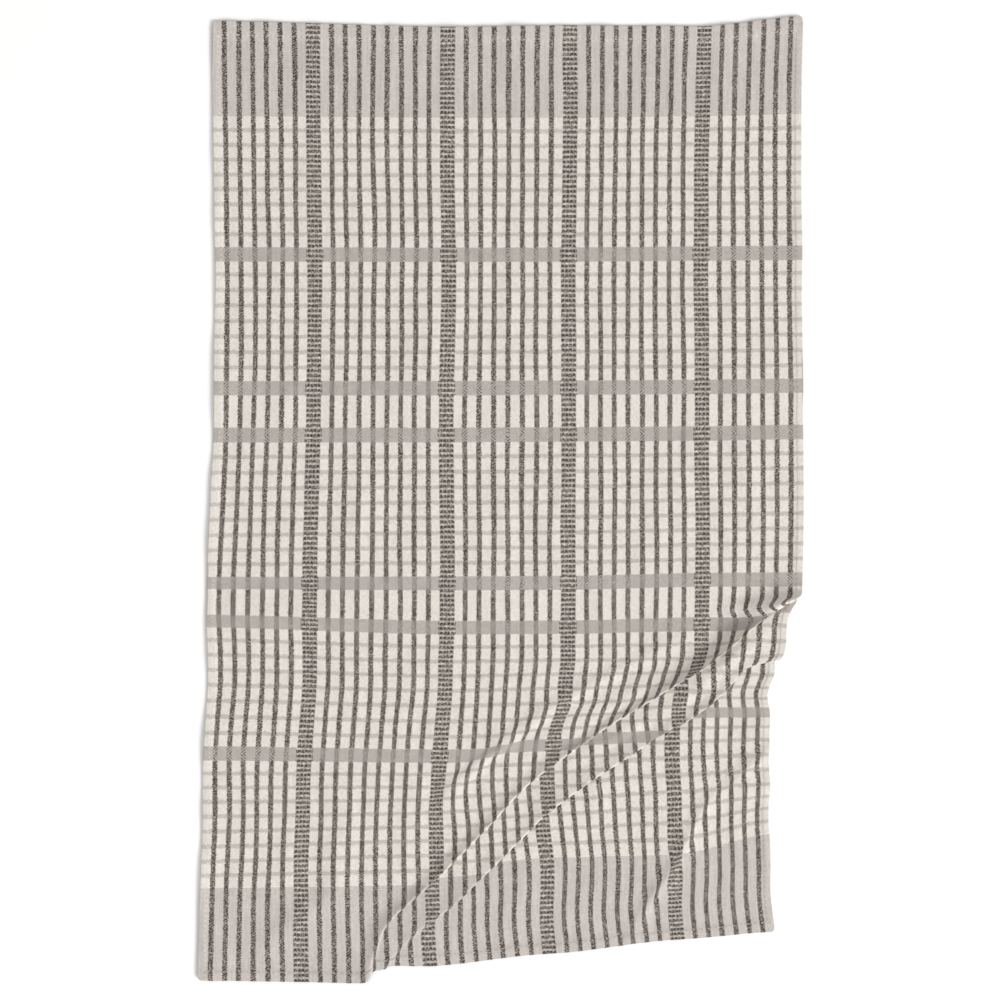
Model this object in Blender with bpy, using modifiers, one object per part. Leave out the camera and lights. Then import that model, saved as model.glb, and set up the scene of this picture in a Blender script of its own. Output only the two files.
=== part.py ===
"""A woven tea towel lying flat on a table, with two narrow folds pinched up across its lower right
and softer folds running on from them to the bottom hem. It is one cloth: its hems are turned parts of it."""

import bpy
import numpy as np

MM = 0.001

# Driving sizes of the cloth, in metres.
CLOTH_WIDTH = 0.450
CLOTH_LENGTH = 0.730
CLOTH_THICKNESS = 0.0012
# The share of the width that the weave's fine lengthwise ripples take up.
RIPPLE_TAKE_UP = 0.018
LAID_WIDTH = CLOTH_WIDTH * (1 - RIPPLE_TAKE_UP)

# How finely the cloth is cut into cells before it is laid, and how many triangles its face keeps.
CELL = 0.0025
FACE_TRIANGLES = 5200
# Heights under this touch the table.
FLAT_UNDER = 0.00004

# Where the shift columns below stand across the cloth, in mm from its left edge: the two edges
# and the second, third and fourth woven ladder bands.
SHIFT_ACROSS = (0.0, 176.0, 266.0, 367.0, 442.0)
SHIFT_COLUMNS = ("down", "left_edge", "second_band", "third_band", "fourth_band", "right_edge")

# How far the laid cloth is drawn to the right of its straight place, in mm. Down is from the top hem.
RIGHT_SHIFT = (
    (0.0, 0.0, 0.8, 2.4, 2.6, 1.3),
    (71.0, 0.9, 0.4, 2.3, 0.6, -0.4),
    (174.5, 2.3, 1.3, 1.0, -0.2, -0.1),
    (300.0, 1.5, -0.2, 1.6, 0.4, 1.1),
    (420.0, -3.4, 0.4, 0.9, 0.8, 0.4),
    (455.0, -3.8, 0.2, 1.0, 0.0, 2.2),
    (482.0, -3.0, -0.4, 0.9, -0.4, 3.0),
    (505.0, -3.0, -1.0, -1.7, -2.0, 1.5),
    (556.0, -6.4, -5.2, -3.2, -2.2, -4.5),
    (606.0, -6.8, -7.6, -9.2, -9.2, -12.0),
    (637.5, -8.2, -7.9, -8.1, -10.4, -14.8),
    (659.0, -9.0, -7.9, -6.0, -10.2, -15.6),
    (694.0, -9.8, -7.1, -8.2, -13.0, -16.5),
    (730.0, -10.5, -5.2, -5.5, -10.5, -12.2),
)

# How far the laid cloth is drawn up the table from its straight place, in mm.
UP_SHIFT = (
    (0.0, 0.6, -4.1, -2.8, -3.5, 4.4),
    (71.0, 0.0, -1.1, -1.1, 0.0, 1.7),
    (174.5, 0.0, -0.4, -0.2, 0.6, 1.1),
    (300.0, 0.0, 0.0, 0.5, 1.1, 2.2),
    (420.0, -0.6, -0.8, -0.4, 1.9, 2.2),
    (455.0, 6.2, 1.0, 1.4, 3.8, 2.2),
    (482.0, 7.9, 2.6, 3.8, 4.6, 2.2),
    (505.0, 8.5, 4.0, 6.0, 6.8, 3.4),
    (556.0, 7.3, 5.0, 7.5, 10.9, 11.3),
    (606.0, 8.6, 11.2, 15.0, 21.8, 26.2),
    (637.5, 8.2, 12.8, 19.5, 23.7, 35.0),
    (659.0, 9.6, 12.0, 20.2, 22.5, 38.2),
    (694.0, 10.5, 11.6, 19.5, 26.2, 37.9),
    (730.0, 11.5, 7.0, 14.0, 28.0, 34.5),
)

# Each fold's line on the cloth, in mm from the top hem and the left edge. Beyond the line the cloth
# is pulled left and up by the cloth that the fold hides. Width is the cloth in the fold, measured
# square to its line, and rise is the height of its crest.
FOLD_COLUMNS = ("down", "across", "pull_left", "pull_up", "width", "rise")
UPPER_FOLD = (
    (420.0, 468.0, 4.5, 17.2, 28.5, 8.0),
    (441.0, 445.5, 4.5, 17.2, 28.5, 9.0),
    (453.0, 426.0, 7.5, 16.5, 28.5, 10.0),
    (473.0, 406.0, 12.0, 15.8, 28.5, 10.5),
    (490.5, 386.0, 12.8, 15.0, 28.5, 10.5),
    (499.5, 373.5, 12.8, 14.2, 30.0, 10.0),
    (508.0, 358.0, 10.5, 12.8, 31.0, 9.0),
    (517.5, 336.0, 8.2, 9.0, 34.0, 7.0),
    (527.0, 319.5, 6.8, 6.0, 36.0, 5.6),
    (541.5, 302.0, 6.0, 4.5, 36.0, 4.8),
    (559.0, 280.5, 5.2, 3.8, 34.0, 4.2),
    (582.0, 252.0, 4.5, 4.5, 30.0, 3.8),
    (604.0, 231.0, 4.5, 4.5, 26.0, 3.6),
    (622.5, 211.0, 4.5, 4.5, 24.0, 3.6),
    (645.0, 190.0, 4.5, 5.2, 24.0, 3.6),
    (670.0, 163.5, 4.1, 6.0, 25.5, 3.6),
    (688.0, 148.0, 3.8, 7.5, 28.5, 3.4),
    (709.5, 134.0, 3.8, 9.0, 34.5, 3.0),
    (730.0, 127.5, 3.4, 9.8, 43.5, 2.6),
)
LOWER_FOLD = (
    (457.5, 457.5, 0.0, 0.0, 45.0, 0.0),
    (480.0, 442.5, 4.5, 6.0, 45.0, 2.0),
    (499.0, 429.0, 7.5, 10.5, 37.5, 5.0),
    (517.5, 412.5, 9.0, 15.0, 30.0, 8.0),
    (529.5, 401.0, 9.0, 16.5, 28.5, 9.0),
    (541.5, 389.0, 9.0, 17.2, 28.5, 9.5),
    (558.0, 367.0, 8.7, 17.2, 27.0, 9.5),
    (574.5, 343.0, 8.2, 18.0, 27.0, 9.0),
    (587.0, 320.5, 7.9, 16.5, 25.5, 8.5),
    (599.0, 300.0, 7.5, 13.5, 24.0, 7.5),
    (613.5, 280.0, 7.1, 11.2, 22.5, 6.5),
    (634.0, 253.0, 6.4, 9.0, 19.5, 5.2),
    (652.5, 231.5, 6.0, 7.5, 18.0, 4.2),
    (668.0, 211.0, 4.9, 6.0, 16.5, 3.0),
    (682.5, 190.0, 3.8, 4.5, 16.5, 1.8),
    (705.0, 166.5, 3.8, 3.8, 19.5, 0.8),
    (730.0, 142.5, 3.8, 3.8, 22.5, 0.0),
)
SHORT_FOLD = (
    (517.5, 262.5, 0.0, 0.0, 22.5, 0.0),
    (536.0, 241.5, 3.8, 3.0, 22.5, 1.8),
    (551.0, 225.0, 5.2, 5.2, 22.5, 2.8),
    (562.5, 211.5, 5.2, 6.0, 22.5, 2.8),
    (581.0, 193.5, 3.8, 3.8, 25.5, 2.0),
    (600.0, 178.5, 1.5, 1.5, 27.0, 0.8),
    (615.0, 165.0, 0.0, 0.0, 27.0, 0.0),
)
FOLDS = (UPPER_FOLD, LOWER_FOLD, SHORT_FOLD)
# How sharply a fold's walls start at its feet and stop at its crest: higher is sharper.
FOLD_SHARPNESS = 8

# Low swells where the cloth doesn't touch the table, each between two points of the cloth, in mm.
SWELL_COLUMNS = ("down", "across", "end_down", "end_across", "width", "rise")
SWELLS = (
    (452.0, -20.0, 446.0, 120.0, 44.0, 1.6),
    (655.0, 330.0, 742.0, 290.0, 34.0, 2.4),
    (640.0, 395.0, 690.0, 352.0, 30.0, 1.6),
    (617.0, 460.0, 622.0, 400.0, 36.0, 1.8),
    (560.0, 108.0, 700.0, 96.0, 40.0, 1.2),
    (120.0, 372.0, -10.0, 384.0, 40.0, 1.0),
    (200.0, 60.0, 330.0, 52.0, 40.0, 1.0),
    (250.0, 398.0, 400.0, 404.0, 44.0, 1.2),
)


def table(rows, columns):
    """The rows as one array with named columns, in metres."""
    found = np.array(list(rows), dtype=[(name, float) for name in columns])
    for name in columns:
        found[name] *= MM
    return found


def through(at, rows, name, key="down"):
    """A smooth curve through one column of a table, read at these places."""
    knots = rows[key]
    values = rows[name]
    slopes = np.gradient(values, knots)
    row = np.clip(np.searchsorted(knots, at) - 1, 0, len(knots) - 2)
    span = knots[row + 1] - knots[row]
    t = np.clip((at - knots[row]) / span, 0, 1)
    start = (1 + 2 * t) * (1 - t) ** 2 * values[row] + t * (1 - t) ** 2 * span * slopes[row]
    end = (3 - 2 * t) * t**2 * values[row + 1] - t**2 * (1 - t) * span * slopes[row + 1]
    return start + end


def shifted(across, down, rows):
    """The shift at each point of the cloth, blended between the two columns beside it."""
    edges = np.array(SHIFT_ACROSS) * MM
    column = np.clip(np.searchsorted(edges, across) - 1, 0, len(edges) - 2)
    t = np.clip((across - edges[column]) / (edges[column + 1] - edges[column]), 0, 1)
    t = (t + t * t * (3 - 2 * t)) / 2
    readings = np.array([through(down, rows, name) for name in SHIFT_COLUMNS[1:]])
    point = np.arange(len(across))
    return readings[column, point] * (1 - t) + readings[column + 1, point] * t


def wall_share(x):
    """How much of a fold's two walls has been climbed and come down, x of the way across it."""
    steps = np.linspace(0, 1, 401)
    steepness = 1 - np.cos(2 * np.pi * steps) ** FOLD_SHARPNESS
    climbed = np.cumsum(steepness) - steepness / 2
    return np.interp(x, steps, climbed / climbed[-1])


def across_fold(across, down, fold):
    """How far through a fold each point is: 0 at the near foot, 1/2 on the crest and 1 at the far foot."""
    nudge = 2 * MM
    line = through(down, fold, "across")
    slope = (through(down + nudge, fold, "across") - through(down - nudge, fold, "across")) / (2 * nudge)
    square = (across - line) / np.sqrt(1 + slope**2)
    reach = np.clip(square / through(down, fold, "width") + 0.5, 0, 1)
    return np.where(down >= fold["down"][0], reach, 0)


def swell_height(across, down, swell):
    """A low rounded ridge between a swell's two ends, fading towards both."""
    run_down = swell["end_down"] - swell["down"]
    run_across = swell["end_across"] - swell["across"]
    length = np.hypot(run_down, run_across)
    along = ((down - swell["down"]) * run_down + (across - swell["across"]) * run_across) / length**2
    aside = ((down - swell["down"]) * run_across - (across - swell["across"]) * run_down) / length
    ridge = np.cos(np.pi * np.clip(aside / swell["width"], -0.5, 0.5)) ** 2
    fade = np.sin(np.pi * np.clip(along, 0, 1)) ** 2
    return swell["rise"] * ridge * fade


def laid(across, down):
    """Where each point of the flat cloth lies on the table: right, up the table, and height over it."""
    right = across + shifted(across, down, table(RIGHT_SHIFT, SHIFT_COLUMNS))
    up = -down + shifted(across, down, table(UP_SHIFT, SHIFT_COLUMNS))
    height = np.zeros(len(across))
    for rows in FOLDS:
        fold = table(rows, FOLD_COLUMNS)
        climbed = wall_share(across_fold(across, down, fold))
        right = right - through(down, fold, "pull_left") * climbed
        up = up + through(down, fold, "pull_up") * climbed
        height = height + through(down, fold, "rise") * (1 - np.abs(1 - 2 * climbed))
    for swell in table(SWELLS, SWELL_COLUMNS):
        height = height + swell_height(across, down, swell)
    height = np.where(height < FLAT_UNDER, 0, height)
    return np.column_stack((right, up, height))


def points_of(mesh):
    flat = np.empty(len(mesh.vertices) * 3)
    mesh.vertices.foreach_get("co", flat)
    return flat.reshape(-1, 3)


def move_points(mesh, points):
    mesh.vertices.foreach_set("co", np.ascontiguousarray(points, np.float32).ravel())
    mesh.update()


def make_cloth(collection):
    """A flat sheet of small cells, laid, thinned out where it is flat, and given its thickness upwards."""
    cells_across = round(LAID_WIDTH / CELL)
    cells_down = round(CLOTH_LENGTH / CELL)
    bpy.ops.mesh.primitive_grid_add(x_subdivisions=cells_across, y_subdivisions=cells_down, size=1)
    cloth = bpy.context.active_object
    cloth.name = "cloth"
    cloth.data.name = "cloth"
    flat = points_of(cloth.data)
    across = (flat[:, 0] + 0.5) * LAID_WIDTH
    down = (0.5 - flat[:, 1]) * CLOTH_LENGTH
    move_points(cloth.data, laid(across, down))

    thin_out = cloth.modifiers.new("thin_out", "DECIMATE")
    thin_out.decimate_type = "COLLAPSE"
    thin_out.use_collapse_triangulate = True
    thin_out.ratio = FACE_TRIANGLES / (2 * cells_across * cells_down)
    bpy.ops.object.modifier_apply(modifier=thin_out.name)
    points = points_of(cloth.data)
    points[:, 2] = np.where(points[:, 2] < FLAT_UNDER, 0, points[:, 2])
    move_points(cloth.data, points)

    thickness = cloth.modifiers.new("thickness", "SOLIDIFY")
    thickness.thickness = CLOTH_THICKNESS
    thickness.offset = 1
    thickness.use_rim = True
    bpy.ops.object.modifier_apply(modifier=thickness.name)
    points = points_of(cloth.data)
    middle = (points.min(axis=0) + points.max(axis=0)) / 2
    middle[2] = points[:, 2].min()
    move_points(cloth.data, points - middle)

    for owner in list(cloth.users_collection):
        owner.objects.unlink(cloth)
    collection.objects.link(cloth)
    return cloth


def woven_cotton():
    material = bpy.data.materials.new("woven_cotton")
    material.use_nodes = True
    surface = material.node_tree.nodes["Principled BSDF"]
    surface.inputs["Base Color"].default_value = (0.62, 0.59, 0.54, 1)
    surface.inputs["Roughness"].default_value = 0.9
    return material


for leftover in list(bpy.data.objects):
    bpy.data.objects.remove(leftover, do_unlink=True)
towel = bpy.data.collections.new("tea_towel")
bpy.context.scene.collection.children.link(towel)
cloth = make_cloth(towel)
cloth.data.materials.append(woven_cotton())
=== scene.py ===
import math

import bmesh
import bpy
import numpy as np
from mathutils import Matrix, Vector, noise


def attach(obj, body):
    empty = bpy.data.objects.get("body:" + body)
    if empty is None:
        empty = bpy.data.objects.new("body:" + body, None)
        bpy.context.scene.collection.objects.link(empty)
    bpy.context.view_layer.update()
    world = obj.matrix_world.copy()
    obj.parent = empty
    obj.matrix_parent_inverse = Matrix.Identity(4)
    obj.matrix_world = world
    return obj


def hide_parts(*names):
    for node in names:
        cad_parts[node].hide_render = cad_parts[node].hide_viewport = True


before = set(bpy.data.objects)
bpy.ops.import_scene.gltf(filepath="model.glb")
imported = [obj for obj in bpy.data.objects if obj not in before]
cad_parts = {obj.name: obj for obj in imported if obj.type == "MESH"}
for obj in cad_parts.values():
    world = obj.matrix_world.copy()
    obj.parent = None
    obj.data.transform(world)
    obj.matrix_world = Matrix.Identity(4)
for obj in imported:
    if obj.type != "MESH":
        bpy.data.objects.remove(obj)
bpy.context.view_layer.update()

MM = 0.001

# The studio: a camera straight over the cloth, a white table, an even white room, and one wide soft
# light low on the lower right, which picks out the folds.
CAMERA_HEIGHT = 1.7708
CAMERA_LENS = 85
camera_data = bpy.data.cameras.new("overhead_camera")
camera_data.lens = CAMERA_LENS
camera = bpy.data.objects.new("overhead_camera", camera_data)
camera.location = (-0.0006, -0.0004, CAMERA_HEIGHT)
bpy.context.scene.collection.objects.link(camera)
bpy.context.scene.camera = camera
bpy.context.scene.view_settings.view_transform = "Standard"

room = bpy.data.worlds.new("white_room")
room.use_nodes = True
room.node_tree.nodes["Background"].inputs["Color"].default_value = (1.0, 0.99, 0.98, 1)
room.node_tree.nodes["Background"].inputs["Strength"].default_value = 0.64
bpy.context.scene.world = room

softbox_data = bpy.data.lights.new("softbox", "AREA")
softbox_data.shape = "RECTANGLE"
softbox_data.size = 5.4
softbox_data.size_y = 4.0
softbox_data.energy = 820
softbox = bpy.data.objects.new("softbox", softbox_data)
softbox.location = (6.8, -4.8, 5.4)
softbox.rotation_euler = (Vector((0, 0, 0)) - softbox.location).to_track_quat("-Z", "Y").to_euler()
bpy.context.scene.collection.objects.link(softbox)

bpy.ops.mesh.primitive_plane_add(size=8, location=(0, 0, -0.0002))
table_top = bpy.context.active_object
table_top.name = "white_table"
white = bpy.data.materials.new("white_table")
white.use_nodes = True
white.node_tree.nodes["Principled BSDF"].inputs["Base Color"].default_value = (0.99, 0.99, 0.99, 1)
white.node_tree.nodes["Principled BSDF"].inputs["Roughness"].default_value = 1.0
white.node_tree.nodes["Principled BSDF"].inputs["Specular IOR Level"].default_value = 0.0
table_top.data.materials.append(white)

# The towel: one panel of woven cotton with a narrow hem turned under on all four sides, laid out flat
# by hand. Pushing its lower right corner up and inwards has pinched two folds across it.
CLOTH_WIDTH = 0.450
CLOTH_LENGTH = 0.730
RIPPLE_TAKE_UP = 0.018
LAID_WIDTH = CLOTH_WIDTH * (1 - RIPPLE_TAKE_UP)
HEM_THICKNESS = 0.0011
CLOTH_SHARE_OF_HEM = 0.50
HEM_SLOPE = 0.0008
SIDE_HEM = 0.0050
TOP_HEM = 0.0110
BOTTOM_HEM = 0.0075
CORNER_RADIUS = 0.0030
TUCKED_DEPTH = 0.0003
CELL = 0.0042

# Where the cloth lies, in mm: how far it is shifted to the right, and up the table, by how far down the
# cloth a point is. Each row has a value for the left edge, three of the ladder bands and the right edge.
SHIFT_ACROSS = (0.0, 176.0, 266.0, 367.0, 442.0)
SHIFT_COLUMNS = ("down", "left_edge", "second_band", "third_band", "fourth_band", "right_edge")
RIGHT_SHIFT = (
    (0.0, 0.0, 0.8, 2.4, 2.6, 1.3),
    (71.0, 0.9, 0.4, 2.3, 0.6, -0.4),
    (174.5, 2.3, 1.3, 1.0, -0.2, -0.1),
    (300.0, 1.5, -0.2, 1.6, 0.4, 1.1),
    (420.0, -3.4, 0.4, 0.9, 0.8, 0.4),
    (436.0, -3.6, 0.3, 0.9, 0.5, -0.2),
    (445.0, -3.7, 0.3, 1.0, 0.3, -2.6),
    (452.0, -3.8, 0.2, 1.0, 0.1, 7.0),
    (458.0, -3.7, 0.2, 1.0, 0.0, 4.6),
    (466.0, -3.5, 0.1, 1.0, -0.1, 2.9),
    (482.0, -3.0, -0.4, 0.9, -0.4, 3.0),
    (505.0, -3.0, -1.0, -1.7, -2.2, 0.0),
    (513.0, -3.4, -1.6, -2.0, -2.6, -1.8),
    (528.0, -4.6, -3.0, -2.6, -3.2, -6.0),
    (556.0, -6.4, -5.2, -3.2, -2.2, -4.5),
    (606.0, -6.8, -7.6, -9.2, -9.2, -12.0),
    (637.5, -8.2, -7.9, -8.1, -10.4, -14.8),
    (659.0, -9.0, -7.9, -6.0, -10.2, -15.6),
    (694.0, -9.8, -7.1, -8.2, -13.0, -16.5),
    (730.0, -10.5, -5.2, -5.5, -10.5, -12.2),
)
UP_SHIFT = (
    (0.0, 0.6, -4.1, -2.8, -3.5, 4.4),
    (71.0, 0.0, -1.1, -1.1, 0.0, 1.7),
    (174.5, 0.0, -0.4, -0.2, 0.6, 1.1),
    (300.0, 0.0, 0.0, 0.5, 1.1, 2.2),
    (420.0, -0.6, -0.8, -0.4, 1.9, 2.2),
    (455.0, 6.2, 1.0, 1.4, 3.8, 2.2),
    (482.0, 7.9, 2.6, 3.8, 4.6, 2.2),
    (505.0, 8.5, 4.0, 6.0, 6.8, 3.4),
    (556.0, 7.3, 5.0, 7.5, 10.9, 11.3),
    (606.0, 8.6, 11.2, 15.0, 21.8, 26.2),
    (637.5, 8.2, 12.8, 19.5, 23.7, 35.0),
    (659.0, 9.6, 12.0, 20.2, 22.5, 38.2),
    (694.0, 10.5, 11.6, 19.5, 26.2, 37.9),
    (730.0, 11.5, 8.6, 18.0, 28.6, 34.5),
)
# The two pinched folds, in mm. Each row is a place on the crest. Up to there the cloth climbs a flank,
# and past it a wall drops back under the crest, so the fold hides some cloth and pulls in the rest.
PLEAT_COLUMNS = ("down", "across", "pull_left", "pull_up", "rise", "flank", "turn")
UPPER_FOLD = (
    (410.0, 540.0, 5.5, 17.2, 10.0, 12.0, 9.0),
    (423.0, 502.0, 5.5, 17.2, 10.0, 12.0, 9.0),
    (434.0, 468.0, 7.5, 17.2, 11.0, 12.0, 9.0),
    (442.5, 437.0, 8.5, 17.2, 12.0, 12.0, 9.0),
    (448.0, 423.0, 9.5, 16.5, 12.0, 12.0, 6.5),
    (454.0, 413.5, 10.5, 15.5, 11.0, 11.5, 3.6),
    (462.0, 406.0, 11.0, 15.0, 10.5, 11.0, 1.7),
    (473.0, 396.0, 11.2, 14.7, 10.0, 10.5, 1.1),
    (490.5, 379.0, 10.2, 13.2, 9.2, 10.0, 1.0),
    (498.0, 371.5, 9.5, 12.1, 8.6, 10.0, 1.0),
    (505.0, 360.5, 8.4, 10.6, 7.6, 9.5, 1.0),
    (514.0, 346.5, 6.6, 7.0, 6.0, 9.0, 1.1),
    (523.0, 334.5, 5.8, 4.3, 4.8, 9.0, 1.3),
    (538.0, 314.5, 5.2, 3.2, 4.2, 9.0, 1.7),
    (555.0, 292.5, 4.7, 3.0, 3.9, 9.0, 2.0),
    (580.0, 257.5, 4.4, 4.3, 4.2, 10.0, 2.2),
    (602.0, 232.5, 4.5, 4.5, 4.2, 10.0, 2.4),
    (622.5, 211.0, 4.5, 4.5, 4.2, 10.0, 2.4),
    (646.5, 186.0, 4.5, 5.2, 4.2, 10.0, 2.6),
    (671.0, 158.0, 4.1, 6.0, 4.0, 11.0, 3.0),
    (689.0, 140.0, 3.8, 7.5, 3.8, 12.0, 3.4),
    (710.0, 130.0, 3.8, 9.0, 3.4, 13.0, 4.0),
    (730.0, 125.0, 3.4, 9.8, 3.0, 14.0, 4.5),
)
LOWER_FOLD = (
    (470.0, 520.0, 0.0, 0.0, 0.0, 14.0, 12.0),
    (490.0, 462.0, 4.0, 6.0, 1.0, 14.0, 11.0),
    (497.0, 440.0, 5.2, 8.0, 1.4, 14.0, 9.0),
    (503.0, 419.0, 6.2, 10.5, 2.2, 15.0, 7.0),
    (510.0, 408.0, 5.6, 13.0, 2.8, 15.0, 3.5),
    (517.0, 399.5, 5.0, 15.0, 3.0, 15.0, 1.6),
    (529.5, 389.5, 4.4, 16.5, 3.2, 15.0, 1.1),
    (541.5, 374.5, 5.2, 17.2, 3.2, 16.0, 1.0),
    (558.0, 348.5, 6.2, 17.2, 3.2, 16.0, 1.0),
    (574.5, 324.5, 7.3, 17.8, 3.2, 17.0, 1.0),
    (587.0, 304.5, 7.5, 16.4, 3.0, 17.0, 1.0),
    (599.0, 287.0, 7.5, 13.5, 2.8, 16.0, 1.0),
    (613.5, 265.5, 7.1, 11.2, 2.6, 15.0, 1.0),
    (634.0, 245.5, 6.4, 9.0, 2.4, 14.0, 1.0),
    (652.5, 224.5, 6.0, 7.5, 2.2, 13.0, 1.1),
    (668.0, 206.5, 4.9, 6.0, 1.8, 12.0, 1.6),
    (682.5, 192.0, 3.8, 4.5, 1.5, 12.0, 2.6),
    (705.0, 162.5, 3.8, 3.8, 1.2, 12.0, 4.5),
    (730.0, 139.0, 3.8, 3.8, 0.6, 12.0, 6.0),
)
# Two softer folds beside them, in mm, each with a gentle wall on both sides of its crest.
FOLD_COLUMNS = ("down", "across", "pull_left", "pull_up", "width", "rise")
LEAD_FOLD = (
    (442.0, 430.0, 0.0, 0.0, 20.0, 0.0),
    (462.0, 402.0, 1.8, 0.5, 22.0, 0.5),
    (480.0, 380.0, 3.4, 1.5, 28.0, 0.9),
    (492.0, 358.0, 4.4, 2.0, 34.0, 1.2),
    (503.0, 336.0, 5.2, 2.2, 38.0, 1.4),
    (515.0, 314.0, 5.8, 2.0, 42.0, 1.5),
    (530.0, 294.0, 5.4, 1.5, 44.0, 1.4),
    (548.0, 272.0, 4.0, 1.0, 42.0, 1.1),
    (570.0, 247.0, 1.8, 0.4, 40.0, 0.6),
    (595.0, 222.0, 0.0, 0.0, 36.0, 0.0),
    (730.0, 100.0, 0.0, 0.0, 36.0, 0.0),
)
SHORT_FOLD = (
    (517.5, 262.5, 0.0, 0.0, 22.5, 0.0),
    (536.0, 241.5, 3.8, 3.0, 22.5, 1.8),
    (551.0, 225.0, 5.2, 5.2, 22.5, 2.1),
    (562.5, 211.5, 5.2, 6.0, 22.5, 2.1),
    (581.0, 193.5, 3.8, 3.8, 25.5, 2.0),
    (600.0, 178.5, 1.5, 1.5, 27.0, 0.8),
    (615.0, 165.0, 0.0, 0.0, 27.0, 0.0),
)
PLEATS = (UPPER_FOLD, LOWER_FOLD)
SOFT_FOLDS = (LEAD_FOLD, SHORT_FOLD)
FOLD_SHARPNESS = 24
FLANK_CURVE = 1.6
OPENING = 0.006
CREST_REACH = 0.00035
FINER_CELLS = ((0.018, 0.006, 1), (0.005, 0.002, 2))
# Low swells, in mm, each from one place on the cloth to another.
SWELL_COLUMNS = ("down", "across", "end_down", "end_across", "width", "rise", "draw")
SWELLS = (
    (452.0, -20.0, 446.0, 120.0, 44.0, 1.6, 0.0),
    (566.0, 178.0, 430.0, 412.0, 18.0, 2.2, 0.8),
    (755.0, 310.0, 590.0, 414.0, 18.0, 2.8, 1.6),
    (640.0, 374.0, 570.0, 470.0, 18.0, 2.4, 1.2),
    (612.0, 282.0, 560.0, 352.0, 20.0, 1.6, 0.6),
    (617.0, 460.0, 622.0, 400.0, 30.0, 1.8, 0.0),
    (560.0, 108.0, 700.0, 96.0, 34.0, 1.2, 0.0),
    (722.0, 20.0, 640.0, 130.0, 26.0, 1.6, 0.5),
    (110.0, 372.0, -10.0, 384.0, 26.0, 1.4, 0.5),
    (90.0, 352.0, -20.0, 340.0, 22.0, 1.2, 0.4),
    (90.0, 60.0, -20.0, 82.0, 26.0, 1.3, 0.4),
    (100.0, 236.0, -20.0, 226.0, 26.0, 1.2, 0.4),
    (180.0, 112.0, 262.0, 116.0, 18.0, 1.2, 0.4),
    (190.0, 166.0, 300.0, 162.0, 20.0, 1.2, 0.4),
    (320.0, 268.0, 410.0, 250.0, 22.0, 1.5, 0.6),
    (300.0, 112.0, 420.0, 108.0, 20.0, 1.3, 0.4),
    (310.0, 220.0, 420.0, 214.0, 22.0, 1.2, 0.4),
    (200.0, 60.0, 330.0, 52.0, 30.0, 1.0, 0.0),
    (250.0, 398.0, 400.0, 404.0, 34.0, 1.2, 0.0),
    (462.0, 445.0, 545.0, 344.0, 16.0, 2.2, 0.0),
    (512.0, 385.0, 590.0, 262.0, 16.0, 1.6, 0.0),
)
RIPPLE_RISE = 0.0011
RIPPLE_SWAY = 0.0007


def table(rows, columns):
    """The rows as one array with named columns, in metres."""
    found = np.array(list(rows), dtype=[(name, float) for name in columns])
    for name in columns:
        found[name] *= MM
    return found


def through(at, rows, name, key="down"):
    """A smooth curve through one column of a table, read at these places."""
    knots = rows[key]
    values = rows[name]
    slopes = np.gradient(values, knots)
    row = np.clip(np.searchsorted(knots, at) - 1, 0, len(knots) - 2)
    span = knots[row + 1] - knots[row]
    t = np.clip((at - knots[row]) / span, 0, 1)
    start = (1 + 2 * t) * (1 - t) ** 2 * values[row] + t * (1 - t) ** 2 * span * slopes[row]
    end = (3 - 2 * t) * t**2 * values[row + 1] - t**2 * (1 - t) * span * slopes[row + 1]
    return start + end


def shifted(across, down, rows):
    """The shift at each point of the cloth, blended between the two columns beside it."""
    edges = np.array(SHIFT_ACROSS) * MM
    column = np.clip(np.searchsorted(edges, across) - 1, 0, len(edges) - 2)
    t = np.clip((across - edges[column]) / (edges[column + 1] - edges[column]), 0, 1)
    t = (t + t * t * (3 - 2 * t)) / 2
    readings = np.array([through(down, rows, name) for name in SHIFT_COLUMNS[1:]])
    point = np.arange(len(across))
    return readings[column, point] * (1 - t) + readings[column + 1, point] * t


def wall_share(x):
    """How much of a fold's two walls has been climbed and come down, x of the way across it."""
    steps = np.linspace(0, 1, 401)
    steepness = 1 - np.cos(2 * np.pi * steps) ** FOLD_SHARPNESS
    climbed = np.cumsum(steepness) - steepness / 2
    return np.interp(x, steps, climbed / climbed[-1])


def past_line(across, down, fold):
    """How far each point is past a fold's line, squarely across it, and how steeply the line runs there."""
    nudge = 2 * MM
    line = through(down, fold, "across")
    slope = (through(down + nudge, fold, "across") - through(down - nudge, fold, "across")) / (2 * nudge)
    past = (across - line) / np.hypot(1, slope)
    return np.where(down >= fold["down"][0], past, -1), slope


def pleat_sizes(down, slope, pleat):
    """A pleat's rise, its flank as laid and as cloth, its wall, and how far the wall is tucked back."""
    rise = through(down, pleat, "rise")
    flank = through(down, pleat, "flank")
    climb = np.hypot(flank, 1.07 * rise)
    pulled = through(down, pleat, "pull_left") - slope * through(down, pleat, "pull_up")
    hidden = np.maximum(pulled / np.hypot(1, slope) - climb + flank, 0.3 * rise + 0.1 * MM)
    tuck = (hidden**2 - rise**2) / (2 * hidden)
    return rise, flank, climb, hidden - tuck, tuck


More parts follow.
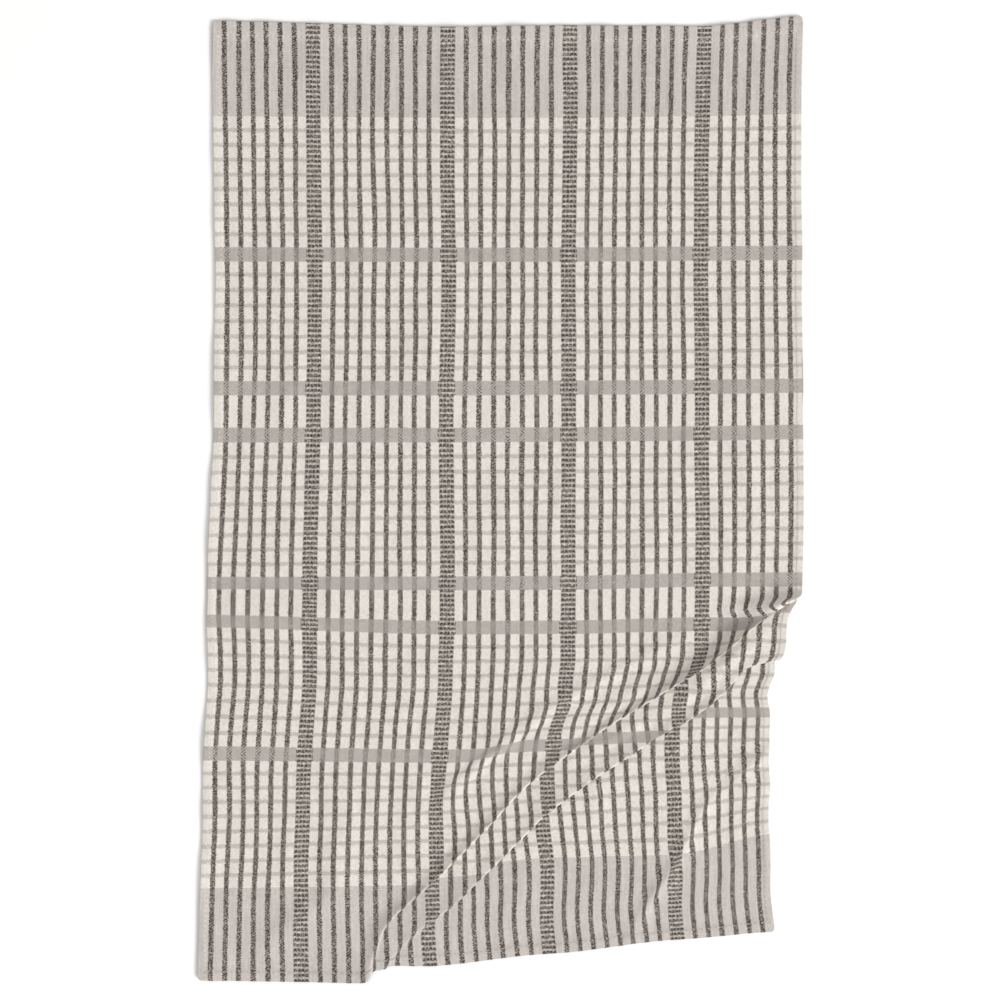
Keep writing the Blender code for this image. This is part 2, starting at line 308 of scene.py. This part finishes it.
def pleated(past, sizes, turn):
    """How much cloth a pleat has taken up by each point, and its height there, its corners rounded."""
    rise, flank, climb, wall, tuck = sizes
    taken = 0
    height = 0
    for part, weight in ((-1, 1), (-0.67, 2), (-0.33, 3), (0, 4), (0.33, 3), (0.67, 2), (1, 1)):
        at = past + part * turn
        climbed = np.clip(1 + at / climb, 0, 1)
        climbed = climbed * (climb / flank - (climb / flank - 1) * climbed)
        fallen = np.clip(at / wall, 0, 1)
        place = np.minimum(at + climb, 0) + flank * (climbed - 1) - tuck * fallen + np.maximum(at - wall, 0)
        taken = taken + (at - place + climb - flank) * weight / 16
        height = height + rise * climbed**FLANK_CURVE * (1 - fallen) * weight / 16
    return taken, height


def swelled(across, down, swell):
    """A low ridge between a swell's two ends: how far right and up it draws each point, and its height."""
    run_down = swell["end_down"] - swell["down"]
    run_across = swell["end_across"] - swell["across"]
    length = np.hypot(run_down, run_across)
    along = ((down - swell["down"]) * run_down + (across - swell["across"]) * run_across) / length**2
    aside = ((across - swell["across"]) * run_down - (down - swell["down"]) * run_across) / length
    place = np.clip(aside / swell["width"], -0.5, 0.5)
    fade = np.sin(np.pi * np.clip(along, 0, 1)) ** 2
    drawn = -swell["draw"] * np.sin(2 * np.pi * place) * fade
    height = swell["rise"] * np.cos(np.pi * place) ** 2 * fade
    return drawn * run_down / length, drawn * run_across / length, height


def ripples(across, down, size, place):
    """Soft unevenness from -1 to 1, longer down the cloth than across it."""
    return np.array([
        noise.noise(Vector((a / size, d / (2.2 * size), place))) for a, d in zip(across, down)
    ])


def laid(across, down):
    """Where each point of the flat cloth lies on the table: right, up the table, and height over it."""
    right = across + shifted(across, down, table(RIGHT_SHIFT, SHIFT_COLUMNS))
    up = -down + shifted(across, down, table(UP_SHIFT, SHIFT_COLUMNS))
    height = np.zeros(len(across))
    open_share = np.ones(len(across))
    for rows in PLEATS:
        pleat = table(rows, PLEAT_COLUMNS)
        past, slope = past_line(across, down, pleat)
        sizes = pleat_sizes(down, slope, pleat)
        taken, lifted = pleated(past, sizes, through(down, pleat, "turn"))
        rise, flank, climb, wall, tuck = sizes
        share = taken / (climb - flank + wall + tuck)
        right = right - through(down, pleat, "pull_left") * share
        up = up + through(down, pleat, "pull_up") * share
        height = height + lifted
        outside = np.maximum(-past, past - wall - tuck) / OPENING
        open_share = np.minimum(open_share, np.clip(outside, 0, 1))
    for rows in SOFT_FOLDS:
        fold = table(rows, FOLD_COLUMNS)
        past, slope = past_line(across, down, fold)
        climbed = wall_share(np.clip(past / through(down, fold, "width") + 0.5, 0, 1))
        right = right - through(down, fold, "pull_left") * climbed
        up = up + through(down, fold, "pull_up") * climbed
        height = height + through(down, fold, "rise") * (1 - np.abs(1 - 2 * climbed)) * open_share
    for swell in table(SWELLS, SWELL_COLUMNS):
        moved_right, moved_up, lifted = swelled(across, down, swell)
        right = right + moved_right
        up = up + moved_up
        height = height + lifted * open_share
    right = right + RIPPLE_SWAY * ripples(across, down, 0.022, 1.5)
    height = height + RIPPLE_RISE * (0.5 + ripples(right, -up, 0.014, 7.5))
    return np.column_stack((right, up, np.maximum(height, 0)))


def lines(length, first_hem, last_hem):
    """Where the cells' lines run: close together over both hems and their steps, even between them."""
    step = 0.0004
    near = [0, step, first_hem / 2, first_hem - 2 * step, first_hem - step, first_hem, first_hem + step]
    far = [0, step, last_hem / 2, last_hem - 2 * step, last_hem - step, last_hem, last_hem + step]
    inner = length - first_hem - last_hem - 2 * step
    count = round(inner / CELL)
    between = first_hem + step + inner * np.arange(1, count) / count
    return np.concatenate((near, between, length - np.array(far[::-1])))


def cut_cells(fabric, places, cuts):
    """Cuts the cells between these points smaller, so that a fold has room to turn."""
    chosen = {fabric.verts[i] for i in np.flatnonzero(places)}
    edges = [edge for edge in fabric.edges if edge.verts[0] in chosen and edge.verts[1] in chosen]
    bmesh.ops.subdivide_edges(fabric, edges=edges, cuts=cuts, use_grid_fill=True)


columns = lines(LAID_WIDTH, SIDE_HEM, SIDE_HEM)
rows = lines(CLOTH_LENGTH, TOP_HEM, BOTTOM_HEM)
fabric = bmesh.new()
bmesh.ops.create_grid(fabric, x_segments=len(columns) - 1, y_segments=len(rows) - 1, size=0.5)
fabric.verts.ensure_lookup_table()
for vert in fabric.verts:
    column = round((vert.co.x + 0.5) * (len(columns) - 1))
    row = round((0.5 - vert.co.y) * (len(rows) - 1))
    vert.co = (columns[column], -rows[row], 0)

# Cells are cut smaller around each crest, and vertices that lie close to its line move onto it.
for before, after, cuts in FINER_CELLS:
    flat = np.array([vert.co for vert in fabric.verts])
    near = np.zeros(len(flat), bool)
    for crest_rows in PLEATS:
        pleat = table(crest_rows, PLEAT_COLUMNS)
        past, slope = past_line(flat[:, 0], -flat[:, 1], pleat)
        rise, flank, climb, wall, tuck = pleat_sizes(-flat[:, 1], slope, pleat)
        near |= (past > -before) & (past < wall + tuck + after) & (climb - flank + wall + tuck > 4 * MM)
    cut_cells(fabric, near, cuts)
    fabric.verts.ensure_lookup_table()
flat = np.array([vert.co for vert in fabric.verts])
for crest_rows in PLEATS:
    past, slope = past_line(flat[:, 0], -flat[:, 1], table(crest_rows, PLEAT_COLUMNS))
    on_crest = np.abs(past) < CREST_REACH
    for i in np.flatnonzero(on_crest):
        fabric.verts[i].co.x -= past[i] / math.hypot(1, slope[i])
        fabric.verts[i].co.y -= past[i] * slope[i] / math.hypot(1, slope[i])
bmesh.ops.triangulate(fabric, faces=[face for face in fabric.faces if len(face.verts) > 4])
fabric.verts.ensure_lookup_table()

# The corners are turned in with the hems, so they are a little rounded.
for vert in fabric.verts:
    inset = Vector((min(vert.co.x, LAID_WIDTH - vert.co.x), min(-vert.co.y, CLOTH_LENGTH + vert.co.y)))
    reach = Vector((CORNER_RADIUS, CORNER_RADIUS)) - inset
    if min(reach) > 0:
        pull_in = reach * (1 - max(reach) / reach.length)
        vert.co.x += math.copysign(pull_in.x, LAID_WIDTH / 2 - vert.co.x)
        vert.co.y += math.copysign(pull_in.y, -CLOTH_LENGTH / 2 - vert.co.y)
flat = np.array([vert.co for vert in fabric.verts])
across = flat[:, 0]
down = -flat[:, 1]
cloth_map = fabric.loops.layers.uv.new("cloth")
for face in fabric.faces:
    for loop in face.loops:
        loop[cloth_map].uv = (loop.vert.co.x, CLOTH_LENGTH + loop.vert.co.y)
places = laid(across, down)
low = places.min(axis=0)
high = places.max(axis=0)
# The cloth that is tucked under lies face down and reaches below the sheet, so the towel rests on it.
middle = np.array(((low[0] + high[0]) / 2, (low[1] + high[1]) / 2, -TUCKED_DEPTH))
for vert, place in zip(fabric.verts, places - middle):
    vert.co = place
towel_mesh = bpy.data.meshes.new("towel_cloth")
fabric.to_mesh(towel_mesh)
fabric.free()
for polygon in towel_mesh.polygons:
    polygon.use_smooth = True
towel = bpy.data.objects.new("towel_cloth", towel_mesh)
bpy.context.scene.collection.objects.link(towel)
inward = np.maximum.reduce((
    SIDE_HEM - across, SIDE_HEM - (LAID_WIDTH - across),
    TOP_HEM - down, BOTTOM_HEM - (CLOTH_LENGTH - down),
))
hem = towel.vertex_groups.new(name="hem")
for point, share in enumerate(np.clip(inward / HEM_SLOPE / 2 + 0.5, 0, 1)):
    hem.add([point], share, "REPLACE")
thickness = towel.modifiers.new("thickness", "SOLIDIFY")
thickness.thickness = HEM_THICKNESS
thickness.vertex_group = "hem"
thickness.thickness_vertex_group = CLOTH_SHARE_OF_HEM
thickness.offset = 1

# How the towel is woven, in mm. Both the dark stripes and the crosswise lines are the same on either
# side of the middle, so every place is given by its distance from the middle.
STRIPE_ROWS = ((0.0, 10.46, 4), (58.8, 10.46, 8), (159.5, 10.46, 6))
LADDERS = (45.1, 145.8)
LINE_ROWS = ((5.6, 11.27, 4), (105.7, 11.63, 7), (205.85, 11.14, 8))
BANDS = (55.25, 90.25, 190.6)
END_BORDER = 294.1
STRIPE_HALF = 1.85
LADDER_HALF = 5.6
LINE_HALF = 1.5
BAND_HALF = 5.4
SIDE_SEAM = 4.6
TOP_SEAM = 10.4
BOTTOM_SEAM = 7.0
HALF_STITCH = 1.9
# Patches where the dark side edge is darker, in mm: the middle of each, down the cloth, and half its
# length. The patch on the right 448 mm down is painted shadow where the upper fold meets the edge.
LEFT_DARK_EDGE_PATCHES = ((20.0, 13.0), (428.0, 24.0))
RIGHT_DARK_PATCHES_AND_FOLD_SHADOW = ((268.0, 17.0), (448.0, 8.0))

CREAM = (0.725, 0.688, 0.632, 1)
GREY_BORDER = (0.565, 0.524, 0.492, 1)
LINE_GREY = (0.530, 0.490, 0.450, 1)
BAND_GREY = (0.452, 0.410, 0.381, 1)
LADDER_LIGHT = (0.360, 0.325, 0.290, 1)
CHARCOAL = (0.070, 0.058, 0.050, 1)
FLECK = (0.340, 0.305, 0.270, 1)

cotton = bpy.data.materials.new("woven_cotton")
cotton.use_nodes = True
weave = cotton.node_tree
surface = weave.nodes["Principled BSDF"]


def plug(socket, value):
    if isinstance(value, bpy.types.NodeSocket):
        weave.links.new(value, socket)
    else:
        socket.default_value = value


def maths(operation, *values):
    """One number worked out from the others."""
    made = weave.nodes.new("ShaderNodeMath")
    made.operation = operation
    for socket, value in zip(made.inputs, values):
        plug(socket, value)
    return made.outputs[0]


def within(distance, half, soft):
    """1 closer than half, fading to 0 over twice the softness."""
    made = weave.nodes.new("ShaderNodeMapRange")
    made.interpolation_type = "SMOOTHSTEP"
    for name, value in (("Value", distance), ("From Min", half + soft), ("From Max", half - soft)):
        plug(made.inputs[name], value)
    return made.outputs[0]


def over(amount, under, upper):
    """One colour laid over another by this amount."""
    made = weave.nodes.new("ShaderNodeMix")
    made.data_type = "RGBA"
    plug(made.inputs["Factor"], amount)
    plug(made.inputs["A"], under)
    plug(made.inputs["B"], upper)
    return made.outputs["Result"]


def comb(place, first, pitch, count):
    """The distance to the nearest of so many evenly spaced places."""
    step = maths("DIVIDE", maths("SUBTRACT", place, first), pitch)
    nearest = maths("MAXIMUM", maths("MINIMUM", maths("ROUND", step), count - 1), 0)
    return maths("MULTIPLY", maths("SUBTRACT", step, nearest), pitch)


def nearest_of(distances):
    """The signed distance that is smallest in size."""
    best = distances[0]
    for other in distances[1:]:
        closer = maths("LESS_THAN", maths("ABSOLUTE", other), maths("ABSOLUTE", best))
        change = maths("MULTIPLY", closer, maths("SUBTRACT", other, best))
        best = maths("ADD", best, change)
    return best


def flecks(along, across_them, amount, roughness=0.5):
    """Fine irregular specks, this many to the mm each way."""
    joined = weave.nodes.new("ShaderNodeCombineXYZ")
    plug(joined.inputs["X"], maths("MULTIPLY", sideways, across_them))
    plug(joined.inputs["Y"], maths("MULTIPLY", downwards, along))
    made = weave.nodes.new("ShaderNodeTexNoise")
    made.inputs["Scale"].default_value = 1.0
    made.inputs["Detail"].default_value = 1.0
    made.inputs["Roughness"].default_value = roughness
    plug(made.inputs["Vector"], joined.outputs[0])
    return maths("MULTIPLY", maths("SUBTRACT", made.outputs[0], 0.5), amount)


cloth_uv = weave.nodes.new("ShaderNodeUVMap")
cloth_uv.uv_map = "cloth"
split = weave.nodes.new("ShaderNodeSeparateXYZ")
plug(split.inputs[0], cloth_uv.outputs[0])
sideways = maths("MULTIPLY", split.outputs["X"], 1 / MM)
downwards = maths("MULTIPLY", maths("SUBTRACT", CLOTH_LENGTH, split.outputs["Y"]), 1 / MM)

# Each thread wanders a little, so no woven edge is quite straight.
thread_step = flecks(0.55, 0.5, 1.7)
from_side = maths("ABSOLUTE", maths("SUBTRACT", sideways, LAID_WIDTH / MM / 2))
stripe_way = nearest_of([comb(from_side, *row) for row in STRIPE_ROWS])
ladder_way = nearest_of([maths("SUBTRACT", from_side, place) for place in LADDERS])
from_end = maths("ABSOLUTE", maths("SUBTRACT", downwards, CLOTH_LENGTH / MM / 2))
line_way = nearest_of([comb(from_end, *row) for row in LINE_ROWS])
band_way = nearest_of([maths("SUBTRACT", from_end, place) for place in BANDS])

saw = maths("PINGPONG", downwards, 0.95)
jagged = maths("ADD", maths("MULTIPLY", maths("SUBTRACT", saw, 0.47), 0.55), thread_step)
stripe = within(maths("ADD", maths("ABSOLUTE", stripe_way), jagged), STRIPE_HALF, 0.4)
line = within(maths("ADD", maths("ABSOLUTE", line_way), flecks(0.5, 0.4, 2.4)), LINE_HALF, 0.8)
band = within(maths("ADD", maths("ABSOLUTE", band_way), flecks(0.1, 0.6, 0.8)), BAND_HALF, 0.4)
border = maths("GREATER_THAN", maths("ADD", from_end, flecks(0.1, 0.6, 0.8)), END_BORDER)

# The diagonal ticks of the twill turn over at the middle of each stripe and of each band.
chevron = maths("ADD", maths("ABSOLUTE", band_way), maths("MULTIPLY", stripe_way, 0.9))
tick = within(maths("PINGPONG", chevron, 1.15), 0.58, 0.12)
twill = maths("ADD", downwards, maths("MULTIPLY", sideways, 0.7))
twill_tick = within(maths("PINGPONG", twill, 1.0), 0.4, 0.2)
speck = maths("ADD", flecks(0.75, 0.75, 4.6), flecks(0.16, 0.3, 1.6))

# Ladder bands: rows of short slanting dashes, four to a row.
rung = maths("ADD", downwards, maths("MULTIPLY", maths("PINGPONG", ladder_way, 1.3), 0.4))
rung_dash = within(maths("ADD", maths("PINGPONG", rung, 1.87), flecks(0.4, 0.5, 1.0)), 1.15, 0.25)
gap = within(maths("PINGPONG", maths("ADD", ladder_way, 2.7), 1.35), 0.25, 0.25)
ladder_dark = maths("MULTIPLY", rung_dash, maths("SUBTRACT", 1.0, maths("MULTIPLY", gap, 0.6)))
wider = maths("ADD", LADDER_HALF, maths("MULTIPLY", band, 0.8))
ladder = within(maths("SUBTRACT", maths("ABSOLUTE", ladder_way), wider), 0.0, 0.25)

ground = over(border, CREAM, GREY_BORDER)
ground = over(maths("MULTIPLY", line, maths("SUBTRACT", 1.0, border)), ground, LINE_GREY)
ground = over(band, ground, BAND_GREY)
worn = maths("ADD", maths("MULTIPLY", twill_tick, 0.5), maths("ADD", speck, 0.15))
dark_yarn = over(worn, CHARCOAL, FLECK)
stripe_cover = maths("SUBTRACT", 1.0, maths("MULTIPLY", band, maths("SUBTRACT", 1.0, tick)))
cloth_colour = over(maths("MULTIPLY", stripe, stripe_cover), ground, dark_yarn)
ladder_light = over(maths("ADD", flecks(0.4, 0.5, 2.0), 0.25), LADDER_LIGHT, CREAM)
ladder_colour = over(ladder_dark, ladder_light, over(maths("ADD", speck, 0.05), CHARCOAL, FLECK))
cloth_colour = over(ladder, cloth_colour, ladder_colour)

# Stitches along the hems, with painted shade along the seam lines between the stitches, and the dark edge
# of the weave where it shows at the sides, darker in a few patches; the patch on the right where the upper
# fold meets the edge is painted shadow.
to_side = maths("SUBTRACT", LAID_WIDTH / MM / 2, from_side)
from_top_seam = maths("SUBTRACT", downwards, TOP_SEAM)
from_bottom_seam = maths("SUBTRACT", CLOTH_LENGTH / MM - BOTTOM_SEAM, downwards)
from_end_seam = maths("MINIMUM", from_top_seam, from_bottom_seam)
side_seam = within(maths("ABSOLUTE", maths("SUBTRACT", to_side, SIDE_SEAM)), 0.4, 0.3)
end_seam = within(maths("ABSOLUTE", from_end_seam), 0.4, 0.3)
side_stitch = maths("MULTIPLY", side_seam, within(maths("PINGPONG", downwards, HALF_STITCH), 0.8, 0.3))
end_stitch = maths("MULTIPLY", end_seam, within(maths("PINGPONG", sideways, HALF_STITCH), 0.8, 0.3))
painted_seam_shade = maths("MAXIMUM", side_seam, end_seam)
stitch = maths("MAXIMUM", side_stitch, end_stitch)
# Painted shade: the seam lines are darkened a little towards charcoal for the shade in the stitched groove;
# the stitches over them are cream thread.
cloth_colour = over(maths("MULTIPLY", painted_seam_shade, 0.16), cloth_colour, CHARCOAL)
cloth_colour = over(maths("MULTIPLY", stitch, 0.55), cloth_colour, CREAM)
on_left = maths("LESS_THAN", sideways, LAID_WIDTH / MM / 2)
on_right = maths("SUBTRACT", 1.0, on_left)
# The dark strip along each side is darker in these patches; the one on the right where the upper fold meets
# the edge is painted shadow, the others only darken the edge there.
dark_patch_and_fold_shadow = 0.0
for side, edge_patches in ((on_left, LEFT_DARK_EDGE_PATCHES), (on_right, RIGHT_DARK_PATCHES_AND_FOLD_SHADOW)):
    for middle_down, half in edge_patches:
        near_it = within(maths("ABSOLUTE", maths("SUBTRACT", downwards, middle_down)), half, 5.0)
        dark_patch_and_fold_shadow = maths("MAXIMUM", dark_patch_and_fold_shadow, maths("MULTIPLY", side, near_it))
# Partly painted shadow: the strip is mixed towards the fleck colour, fuzzily all along each side and more
# strongly in the patches.
dark_edge_and_painted_shadow = maths("MULTIPLY", within(to_side, 0.8, 0.4), maths("ADD", dark_patch_and_fold_shadow, flecks(0.5, 0.5, 1.2)))
cloth_colour = over(maths("MULTIPLY", dark_edge_and_painted_shadow, 0.6), cloth_colour, FLECK)

streak = maths("MULTIPLY", flecks(0.03, 0.7, 0.3), maths("ADD", maths("MULTIPLY", border, 0.8), 0.2))
patches = maths("ADD", flecks(0.10, 0.10, 0.16), flecks(0.4, 0.6, 0.34))
mottle = maths("ADD", maths("ADD", 1.0, streak), patches)
shade = weave.nodes.new("ShaderNodeVectorMath")
shade.operation = "SCALE"
plug(shade.inputs[0], cloth_colour)
plug(shade.inputs["Scale"], mottle)
plug(surface.inputs["Base Color"], shade.outputs[0])
surface.inputs["Roughness"].default_value = 0.95
surface.inputs["Specular IOR Level"].default_value = 0.1

crimp = weave.nodes.new("ShaderNodeBump")
crimp.inputs["Strength"].default_value = 0.35
crimp.inputs["Distance"].default_value = 0.0004
plug(crimp.inputs["Height"], maths("ADD", flecks(0.45, 1.1, 1.0), maths("MULTIPLY", twill_tick, 0.25)))
plug(surface.inputs["Normal"], crimp.outputs[0])
towel_mesh.materials.append(cotton)
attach(towel, "root")
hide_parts("cloth")
